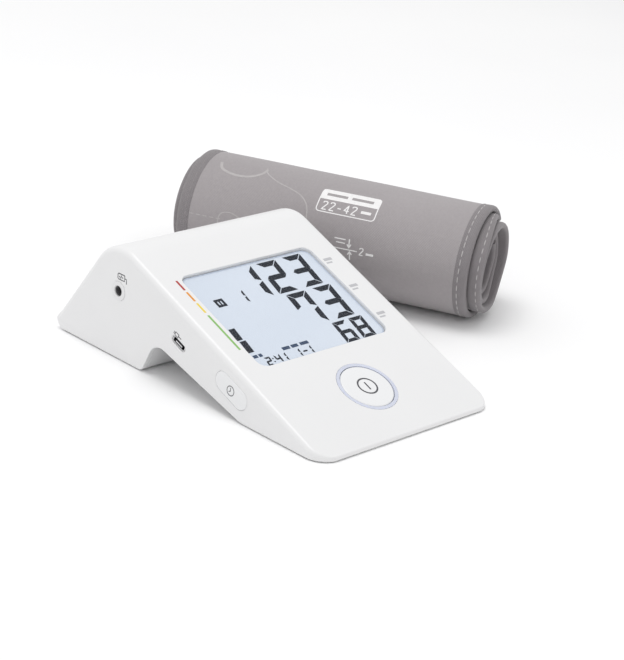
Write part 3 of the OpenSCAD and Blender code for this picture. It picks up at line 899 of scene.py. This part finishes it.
def make_side_signs():
    """A small arm-cuff sign over the air socket and a plug sign over the charging socket."""
    sleeve = [(-2.2, -1.2), (-2.2, 1.2), (1.6, 1.2), (2.0, 0.8), (2.0, -0.8), (1.6, -1.2), (-2.2, -1.2)]
    hose = [(-2.2, 0.0), (-3.2, 0.0), (-3.4, 0.8), (-3.4, 2.0)]
    pulse = [(-1.3, 0.1), (-0.6, 0.1), (-0.2, -0.7), (0.3, 0.8), (0.7, 0.1), (1.3, 0.1)]
    place = flat_side_place(40.0, 35.4)
    sign = line_piece("air_sign", [sleeve, hose, pulse], 0.42, place, ICON_INK)
    finish_piece(sign, "monitor", "white_shell")
    plug = [(-2.6, 0), (-0.8, 0)]
    body = [(-0.8, -0.7), (1.2, -0.7), (1.2, 0.7), (-0.8, 0.7), (-0.8, -0.7)]
    pins = [[(1.2, -0.35), (2.2, -0.35)], [(1.2, 0.35), (2.2, 0.35)]]
    tilted = flat_side_place(4.6, 23.0) @ Matrix.Rotation(-TILT, 4, "Z")
    sign = line_piece("plug_sign", [plug, body, *pins], 0.36, tilted, ICON_INK)
    finish_piece(sign, "monitor", "white_shell")


# --- The rolled cuff -----------------------------------------------------------------------
SHEET_T = 2.4
ROLL_SLIDE = -1.4
SAG_LEFT = 0.038
SAG_RIGHT = 0.06
HEM_W = 5.8
HEM_LIFT = 0.3
LEAST_GAP = 0.25
ROLL_END = ROLL_START + 360 * ROLL_TURNS
ROLL_Z = ROLL_R - PITCH * (270 - ROLL_START) / 360 + 0.05
RIGHT_EDGE = 69.5
LEFT_EDGE = -66.0
ROLL_MATRIX = (
    Matrix.Translation((ROLL_AT[0] * MM, ROLL_AT[1] * MM, ROLL_Z * MM))
    @ Matrix.Rotation(ROLL_TURN, 4, "Z")
)


def ease(value):
    value = min(max(value, 0.0), 1.0)
    return value * value * (3 - 2 * value)


def stand_out(phi):
    """How far the cuff stands out of the roll's right end after winding to phi."""
    return TELESCOPE * ease((phi - 375) / 130) - 4.0 * ease((phi - 830) / 300)


def left_out(phi):
    """How far the inner turns stand out of the roll's left end."""
    return 3.2 * ease((phi - 395) / 60) * (1 - ease((phi - 900) / 300))


def left_edge(phi):
    return LEFT_EDGE - left_out(phi)


def right_edge(phi):
    return RIGHT_EDGE + stand_out(phi)


def ripple(x, phi):
    """The soft unevenness of a hand-rolled cuff, in mm. The outer turn is the smoothest."""
    at = Vector((x * 0.028, phi * 0.011, 3.7))
    size = 0.22 + 0.25 * ease((phi - 500) / 500)
    return noise.noise(at) * size


def far_side_pull(x, a):
    """The far side is flatter towards the right end, most of all low down; the hose port's end is round."""
    if math.cos(a) <= 0:
        return 1.0
    share = ease(math.cos(a) / 0.5) * ease((x + 30) / 55)
    return 1 - (0.09 + 0.22 * ease(-math.sin(a) / 0.8)) * share


def sag(x, a):
    """The upper half of the roll settles a little, more towards its right end."""
    if math.sin(a) <= 0:
        return 1.0
    return 1 - SAG_LEFT - (SAG_RIGHT - SAG_LEFT) * (x + CUFF_HALF) / (2 * CUFF_HALF)


def on_roll(x, phi, off=0.0):
    """A point of the roll, in metres: off is the depth under the cloth's outer surface."""
    a = math.radians(phi)
    radius = ROLL_R - PITCH * (phi - ROLL_START) / 360 - off + ripple(x, phi)
    across = ROLL_FLAT * radius * math.cos(a) * far_side_pull(x, a)
    height = max(radius * math.sin(a) * sag(x, a), LEAST_GAP - ROLL_Z)
    return ROLL_MATRIX @ Vector(((x + ROLL_SLIDE) * MM, across * MM, height * MM))


def arc_mm(phi, first):
    """Length of cloth from the angle first to phi, for the weave's scale."""
    mean = ROLL_R - PITCH * ((phi + first) / 2 - ROLL_START) / 360
    return math.radians(phi - first) * mean


def roll_strip(name, start, end, profile, materials, step=4.0):
    """Closed cloth wound from start to end. profile(phi) is the section's (x, off, material) loop."""
    count = max(2, round((end - start) / step))
    angles = [start + (end - start) * k / count for k in range(count + 1)]
    sections = [profile(phi) for phi in angles]
    sides = len(sections[0])
    verts = [on_roll(x, phi, off) for phi, section in zip(angles, sections) for x, off, _ in section]
    faces, slots, uvs = [], [], []
    for k in range(count):
        run = 0.0
        for i in range(sides):
            j = (i + 1) % sides
            faces.append((k * sides + i, k * sides + j, (k + 1) * sides + j, (k + 1) * sides + i))
            slots.append(sections[k][i][2])
            x0, off0, _ = sections[k][i]
            x1, off1, _ = sections[k][j]
            width = math.hypot(x1 - x0, off1 - off0)
            v0, v1 = arc_mm(angles[k], start), arc_mm(angles[k + 1], start)
            uvs.append(((run, v0), (run + width, v0), (run + width, v1), (run, v1)))
            run += width
    for ring in (list(reversed(range(sides))), [count * sides + i for i in range(sides)]):
        faces.append(tuple(ring))
        slots.append(0)
        uvs.append([(0, 0)] * sides)
    mesh = bpy.data.meshes.new(name)
    mesh.from_pydata([tuple(v) for v in verts], [], faces)
    for material in materials:
        mesh.materials.append(material)
    layer = mesh.uv_layers.new(name="cloth")
    for polygon, face_uvs, index in zip(mesh.polygons, uvs, slots):
        polygon.material_index = index
        for loop, uv in zip(polygon.loop_indices, face_uvs):
            layer.data[loop].uv = uv
    piece = in_scene(name, mesh)
    fix_cloth(piece)
    return piece


def fix_cloth(piece):
    work = bmesh.new()
    work.from_mesh(piece.data)
    bmesh.ops.recalc_face_normals(work, faces=work.faces)
    for edge in work.edges:
        if len(edge.link_faces) == 2:
            edge.smooth = edge.calc_face_angle(0.0) < math.radians(50)
    work.to_mesh(piece.data)
    work.free()
    piece.data.polygons.foreach_set("use_smooth", [True] * len(piece.data.polygons))


def cloth_section(phi):
    """Shell cloth outside and lining inside, its edges tucked into the hems."""
    left = left_edge(phi) + 1.0
    right = right_edge(phi) - 1.0
    columns = 28
    xs = [left + (right - left) * k / columns for k in range(columns + 1)]
    outer = [(x, 0.0, 0) for x in xs]
    inner = [(x, SHEET_T, 1) for x in reversed(xs)]
    return outer + inner


def hem_section(side):
    """A folded edge band on one end of the roll: side is 1 for the right end and -1 for the left."""
    def section(phi):
        edge = right_edge(phi) if side > 0 else left_edge(phi)
        half = SHEET_T / 2 + HEM_LIFT
        middle = SHEET_T / 2
        loop = [(edge - side * HEM_W, -HEM_LIFT * 0.2), (edge - side * (HEM_W - 0.5), -HEM_LIFT)]
        loop.append((edge - side * (HEM_W - 1.9), -HEM_LIFT * 0.55))
        loop.append((edge - side * (HEM_W - 3.2), -HEM_LIFT))
        for k in range(7):
            a = math.radians(90 - 30 * k)
            loop.append((edge - side * (half - half * math.cos(a)), middle - half * math.sin(a)))
        loop.append((edge - side * HEM_W, SHEET_T + HEM_LIFT))
        return [(x, off, 0) for x, off in loop]
    return section


def pad_section(x0, x1, top, bottom):
    """A tape sewn on the roll, a little domed, between two offsets."""
    def section(phi):
        edge = 0.8
        rise = top - bottom
        points = [(x0, bottom), (x0, bottom + rise * 0.6), (x0 + edge, top)]
        points += [(x0 + (x1 - x0) * k / 8, top) for k in range(1, 8)]
        points += [(x1 - edge, top), (x1, bottom + rise * 0.6), (x1, bottom)]
        return [(x, off, 0) for x, off in points]
    return section


def stitches(name, edge_at, inset, start, end, off, thread, along=2.6, gap=1.4):
    """A row of thread stitches round the roll, each a short bead that dips at its ends."""
    parts = []
    phi = start
    while phi < end:
        radius = ROLL_R - PITCH * (phi - ROLL_START) / 360
        turn = math.degrees(along / radius)
        points = []
        for k in range(5):
            share = k / 4
            here = phi + turn * share
            dip = 0.16 * (1 - math.sin(math.pi * share))
            points.append(on_roll(edge_at(here) + inset, here, off + dip))
        parts.append(tube(f"{name}_{len(parts)}", points, 0.19, thread, 6))
        phi += turn + math.degrees(gap / radius)
    return joined(name, parts)


def roll_line(name, stroke, width, ink, lift=0.05):
    """A printed line on the outer turn through (x, mm round the roll) points."""
    outline = ribbon(stroke, width)
    rings = []
    for (rx, rs), (lx, ls) in zip(outline[:len(stroke)], outline[len(stroke):][::-1]):
        corners = ((rx, rs, 0.05), (rx, rs, -lift), (lx, ls, -lift), (lx, ls, 0.05))
        rings.append([on_roll(x, phi_at(s), off) for x, s, off in corners])
    return solid_through(name, rings, ink, 40.0)


PRINT_PHI = 112.0
PRINT_MM = math.degrees(1 / 26.9)


def phi_at(s):
    """Angle of a print that lies s mm round the roll from the tag's upper edge."""
    return PRINT_PHI + s * PRINT_MM


def resampled(points, spacing=1.2):
    """The same line with points close enough to follow the roll."""
    dense = [points[0]]
    for a, b in zip(points[:-1], points[1:]):
        steps = max(1, math.ceil(math.dist(a, b) / spacing))
        for k in range(1, steps + 1):
            dense.append((a[0] + (b[0] - a[0]) * k / steps, a[1] + (b[1] - a[1]) * k / steps))
    return dense


def smooth_line(points, steps=8):
    """A Catmull-Rom curve through a few (x, s) points."""
    line = []
    for k in range(len(points) - 1):
        p0 = Vector(points[max(k - 1, 0)])
        p1, p2 = Vector(points[k]), Vector(points[k + 1])
        p3 = Vector(points[min(k + 2, len(points) - 1)])
        for i in range(steps):
            t = i / steps
            line.append(tuple(0.5 * (2 * p1 + (p2 - p0) * t + (2 * p0 - 5 * p1 + 4 * p2 - p3) * t**2
                                     + (3 * p1 - p0 - 3 * p2 + p3) * t**3)))
    return line + [points[-1]]


def filled_tag(name, x0, x1, s0, s1, radius, ink):
    """The tag's filled upper half: rows of cloth print with rounded upper corners."""
    rows = 12
    verts, faces = [], []
    columns = 24
    for i in range(rows + 1):
        s = s0 + (s1 - s0) * i / rows
        near = max(0.0, radius - (s - s0))
        pull = radius - math.sqrt(radius**2 - near**2)
        for j in range(columns + 1):
            x = x0 + pull + (x1 - x0 - 2 * pull) * j / columns
            verts.append(on_roll(x, phi_at(s), -0.05))
    top = len(verts)
    verts += [on_roll(x0 + (x1 - x0) * (k % (columns + 1)) / columns,
                      phi_at(s0 + (s1 - s0) * (k // (columns + 1)) / rows), 0.1)
              for k in range((rows + 1) * (columns + 1))]
    w = columns + 1
    for i in range(rows):
        for j in range(columns):
            a = i * w + j
            faces.append((a, a + 1, a + w + 1, a + w))
            faces.append((top + a, top + a + w, top + a + w + 1, top + a + 1))
    rim = [j for j in range(w)] + [i * w + columns for i in range(1, rows + 1)]
    rim += [rows * w + j for j in range(columns - 1, -1, -1)] + [i * w for i in range(rows - 1, 0, -1)]
    for k, a in enumerate(rim):
        b = rim[(k + 1) % len(rim)]
        faces.append((a, top + a, top + b, b))
    piece = new_piece(name, verts, faces, ink)
    fix_normals(piece, 40.0)
    return piece


FIGURE_STROKES = {
    "2": [[(0.0, 0.8), (0.25, 0.15), (1.1, 0.0), (1.8, 0.3), (1.9, 1.1), (1.2, 2.2), (0.0, 4.0), (2.0, 4.0)]],
    "4": [[(1.4, 4.0), (1.4, 0.0), (0.0, 2.8), (2.1, 2.8)]],
    "-": [[(0.2, 2.4), (1.7, 2.4)]],
}


def figures_on_roll(name, signs, x, s, size, advance, ink):
    parts = []
    for k, sign in enumerate(signs):
        for stroke in FIGURE_STROKES[sign]:
            placed = [(x + k * advance + px * size, s + py * size) for px, py in stroke]
            parts.append(roll_line(f"{name}_{k}_{len(parts)}", resampled(placed, 0.7), 0.55, ink))
    return joined(name, parts)


def rounded_loop(x0, x1, s0, s1, radius):
    loop = [(x + (x0 + x1) / 2, s + (s0 + s1) / 2) for x, s in rounded_rect(x1 - x0, s1 - s0, radius)]
    return resampled(loop + loop[:1])


def flap_blend(piece):
    """Bakes the piece's placement into its mesh; the cloth near the flap's fold is not bent, and the two
    points worked out on the roll are not used.
    """
    tuple(on_roll(0, 137.0))
    tuple(on_roll(0, 112.0))
    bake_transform(piece)


def make_hems_and_stitches():
    """The folded edge bands and their thread, on the roll and on its free end."""
    on_body, on_flap = [], []
    for side, word in ((1, "right"), (-1, "left")):
        hem = roll_strip(f"hem_{word}", FLAP_END, ROLL_END, hem_section(side), [HEM_WEBBING])
        finish_piece(hem, "cuff", "hem_webbing", "hem_tape")
        edge_at = right_edge if side > 0 else left_edge
        inset = -side * (HEM_W - 1.9)
        thread = STITCH if side > 0 else STITCH_DARK
        row = stitches(f"stitches_{word}", edge_at, inset, FLAP_END + 0.5, 390.0, -0.2, thread)
        finish_piece(row, "cuff", "hem_webbing")
        inner = stitches(f"stitches_inner_{word}", edge_at, inset * 0.5, 400.0, 700.0, -0.28, thread)
        finish_piece(inner, "cuff", "hem_webbing")
        on_body += [hem, row, inner]
        outer = roll_strip(f"hem_flap_{word}", ROLL_START, FLAP_END, hem_section(side), [HEM_WEBBING], 3.0)
        flap_row = stitches(f"stitches_flap_{word}", edge_at, inset, ROLL_START + 2, FLAP_END - 5,
                            -0.2, thread)
        for piece in (outer, flap_row):
            flap_blend(piece)
        on_flap += [outer, flap_row]
    return on_body, on_flap


def make_cuff():
    cloth = [CUFF_NYLON, CUFF_LINING]
    body = roll_strip("cuff_cloth", FLAP_END, ROLL_END, cloth_section, cloth)
    finish_piece(body, "cuff", "grey_nylon", "cuff_shell", "cuff_lining", "air_bladder")
    flap = roll_strip("cuff_flap_cloth", ROLL_START, FLAP_END, cloth_section, cloth, 3.0)
    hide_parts("cuff_flap")
    flap_blend(flap)
    on_body, on_flap = make_hems_and_stitches()
    loop = roll_strip("loop_pad", 397.0, 475.0, pad_section(-55.0, 55.0, -0.55, 0.05), [LOOP_PILE], 3.0)
    finish_piece(loop, "cuff", "loop_pile", "loop_patch")
    hook = roll_strip("hook_pad", 41.0, 99.0, pad_section(-52.0, 52.0, SHEET_T + 0.35, SHEET_T - 0.1),
                      [HOOK_TAPE], 3.0)
    finish_piece(hook, "flap", "hook_tape", "hook_patch")


def make_cuff_prints():
    tag_l, tag_r, tag_mid, tag_low = -3.6, 23.8, 5.9, 12.6
    filled = filled_tag("tag_upper", tag_l, tag_r, 0.0, tag_mid, 1.6, PRINT_WHITE)
    frame_line = roll_line("tag_frame", rounded_loop(tag_l + 0.2, tag_r - 0.2, 0.4, tag_low, 1.6), 0.5,
                           PRINT_WHITE)
    numbers = figures_on_roll("tag_numbers", "22-42", -1.0, tag_mid + 1.3, 1.05, 3.4, PRINT_WHITE)
    rule = roll_line("tag_rule", resampled([(16.8, tag_mid + 3.3), (21.4, tag_mid + 3.3)]), 1.4, PRINT_WHITE)
    words = [(-1.0, 8.6), (10.6, 20.6)]
    bars = [
        roll_line(f"tag_word_{k}", resampled([(a, 3.0), (b, 3.0)]), 1.5, CUFF_GREY_INK, 0.08)
        for k, (a, b) in enumerate(words)
    ]
    tag = joined("cuff_tag", [filled, frame_line, numbers, rule, *bars])
    flap_blend(tag)
    artery = smooth_line([(-54.5, -4.0), (-52.5, 0.2), (-48.0, 2.3), (-42.5, 2.8), (-37.5, 1.6),
                          (-33.8, -1.4), (-32.6, -5.0)])
    arm = smooth_line([(-33.4, -6.5), (-31.5, -2.4), (-25.5, 1.6), (-18.0, 4.2), (-12.5, 6.6),
                       (-8.8, 10.0), (-7.0, 13.6), (-6.0, 18.5), (-5.6, 24.0)])
    upper = joined("arm_outline_print", [
        roll_line("artery_arc", resampled(artery), 1.3, PRINT_FAINT),
        roll_line("arm_line", resampled(arm), 0.55, PRINT_FAINT),
    ])
    flap_blend(upper)
    dashes = [[(x, 26.2), (x + 2.0, 26.2)] for x in (-60.0 + k * 3.2 for k in range(5))]
    dashes = [roll_line(f"dash_{k}", resampled(line), 0.5, PRINT_FAINT) for k, line in enumerate(dashes)]
    hand = smooth_line([(-45.8, 31.0), (-46.2, 26.0), (-45.0, 23.2), (-42.0, 22.3), (-39.5, 22.6),
                        (-36.0, 24.0), (-30.0, 25.0)])
    arrows = [
        [(15.3, 23.0), (15.6, 27.0)], [(16.2, 29.0), (16.6, 33.0)],
        [(14.6, 25.6), (15.6, 27.2), (16.4, 25.4)], [(15.4, 30.6), (16.2, 28.8), (17.2, 30.4)],
        [(9.0, 28.2), (19.5, 28.2)], [(8.5, 23.6), (13.6, 23.6)], [(9.5, 25.4), (13.6, 25.4)],
    ]
    marks = [roll_line(f"mark_{k}", resampled(line), 0.55, PRINT_WHITE) for k, line in enumerate(arrows)]
    two = figures_on_roll("two", "2", 20.6, 26.2, 0.85, 3.0, PRINT_WHITE)
    unit = roll_line("unit_bar", resampled([(23.6, 28.6), (27.0, 28.6)]), 1.1, PRINT_WHITE)
    lower = joined("fitting_marks", [
        *dashes, roll_line("hand_line", resampled(hand), 0.5, PRINT_FAINT), *marks, two, unit,
    ])
    finish_piece(lower, "cuff", "grey_nylon")


# --- Carried-over parts --------------------------------------------------------------------
NODE_MATERIALS = {
    "bottom_cover": WHITE_BASE, "battery_door": WHITE_BASE, "lcd_frame": GREY_MOULDING,
    "lcd_panel": DISPLAY_BACK, "lcd_backlight": LIGHT_GUIDE, "lcd_connector": SOFT_RUBBER,
    "start_switch": DARK_MOULDING, "clock_switch": DARK_MOULDING, "main_board": CIRCUIT_GREEN,
    "microcontroller": DARK_MOULDING, "button_board": CIRCUIT_GREEN, "ribbon_cable": FLAT_RIBBON,
    "board_screws": PLATED_STEEL, "case_screws": PLATED_STEEL, "air_jack": WHITE_BASE,
    "air_manifold": GREY_MOULDING, "air_tubes": SILICONE, "pressure_sensor": SENSOR_CERAMIC,
    "pump_motor": PLATED_STEEL, "pump_head": DARK_MOULDING, "pump_diaphragm": SOFT_RUBBER,
    "pump_rotor": PLATED_STEEL, "release_valve": DARK_MOULDING, "valve_plunger": PLATED_STEEL,
    "buzzer": DARK_MOULDING, "usb_socket": PLATED_STEEL, "batteries": CELL_JACKET,
    "battery_springs": PLATED_STEEL, "battery_plates": PLATED_STEEL, "rubber_feet": SOFT_RUBBER,
    "hose_port": DARK_MOULDING,
}


def dress_nodes():
    for name, material in NODE_MATERIALS.items():
        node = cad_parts[name]
        node.data.materials.clear()
        node.data.materials.append(material)


# --- Table, light and camera ----------------------------------------------------------------
def make_stage():
    material, tree, shader, coords = new_material("pale_table")
    cloud = noise_node(tree, coords, 4.0, 2.0)
    tint_between(tree, shader, cloud.outputs["Fac"], (0.94, 0.94, 0.945), (0.96, 0.96, 0.962))
    preset(shader, {"Roughness": 0.9, "Specular IOR Level": 0.1})
    size = 6.0
    floor = new_piece("table_top", [(-size, -size, 0), (size, -size, 0), (size, size, 0), (-size, size, 0)],
                      [(0, 1, 2, 3)], material, False)


SURROUND_STRENGTH = 0.82
KEY_AT = (-0.12, 0.12, 1.1)
KEY_AIM = (0.02, 0.02, 0.02)
KEY_SIZE = 0.6
KEY_POWER = 4.0


def area_light(name, place, target, size, power):
    light = bpy.data.lights.new(name, "AREA")
    light.shape = "DISK"
    light.size = size
    light.energy = power
    lamp = in_scene(name, light)
    lamp.location = place
    lamp.rotation_euler = (Vector(target) - Vector(place)).to_track_quat("-Z", "Y").to_euler()


def make_light():
    """A pale surround and one large soft lamp overhead, for white paper and a close shadow."""
    world = bpy.data.worlds.new("studio") if not bpy.data.worlds else bpy.data.worlds[0]
    bpy.context.scene.world = world
    world.use_nodes = True
    bpy.context.scene.view_settings.view_transform = "Standard"
    back = world.node_tree.nodes["Background"]
    preset(back, {"Color": (1.0, 1.0, 1.0, 1), "Strength": SURROUND_STRENGTH})
    area_light("key", KEY_AT, KEY_AIM, KEY_SIZE, KEY_POWER)


CAMERA_AT = Vector((-0.54098, -0.54155, 0.32640))
CAMERA_RIGHT = Vector((0.715661, -0.692904, 0.087822))
CAMERA_DOWN = Vector((-0.202634, -0.326311, -0.923288))
CAMERA_FORWARD = Vector((0.668408, 0.642966, -0.373934))
CAMERA_LENS = 111.65


def make_camera():
    data = bpy.data.cameras.new("view")
    data.lens = CAMERA_LENS
    data.sensor_width = 36.0
    data.clip_start = 0.05
    camera = in_scene("view", data)
    turn = Matrix((CAMERA_RIGHT, -CAMERA_DOWN, -CAMERA_FORWARD)).transposed()
    camera.matrix_world = Matrix.Translation(CAMERA_AT) @ turn.to_4x4()
    bpy.context.scene.camera = camera


make_camera()
make_stage()
make_light()
dress_nodes()
make_top_cover()
make_display()
make_window()
make_scale_and_labels()
make_start_button()
make_clock_button()
make_jack_bore()
make_side_signs()
make_cuff()
make_cuff_prints()
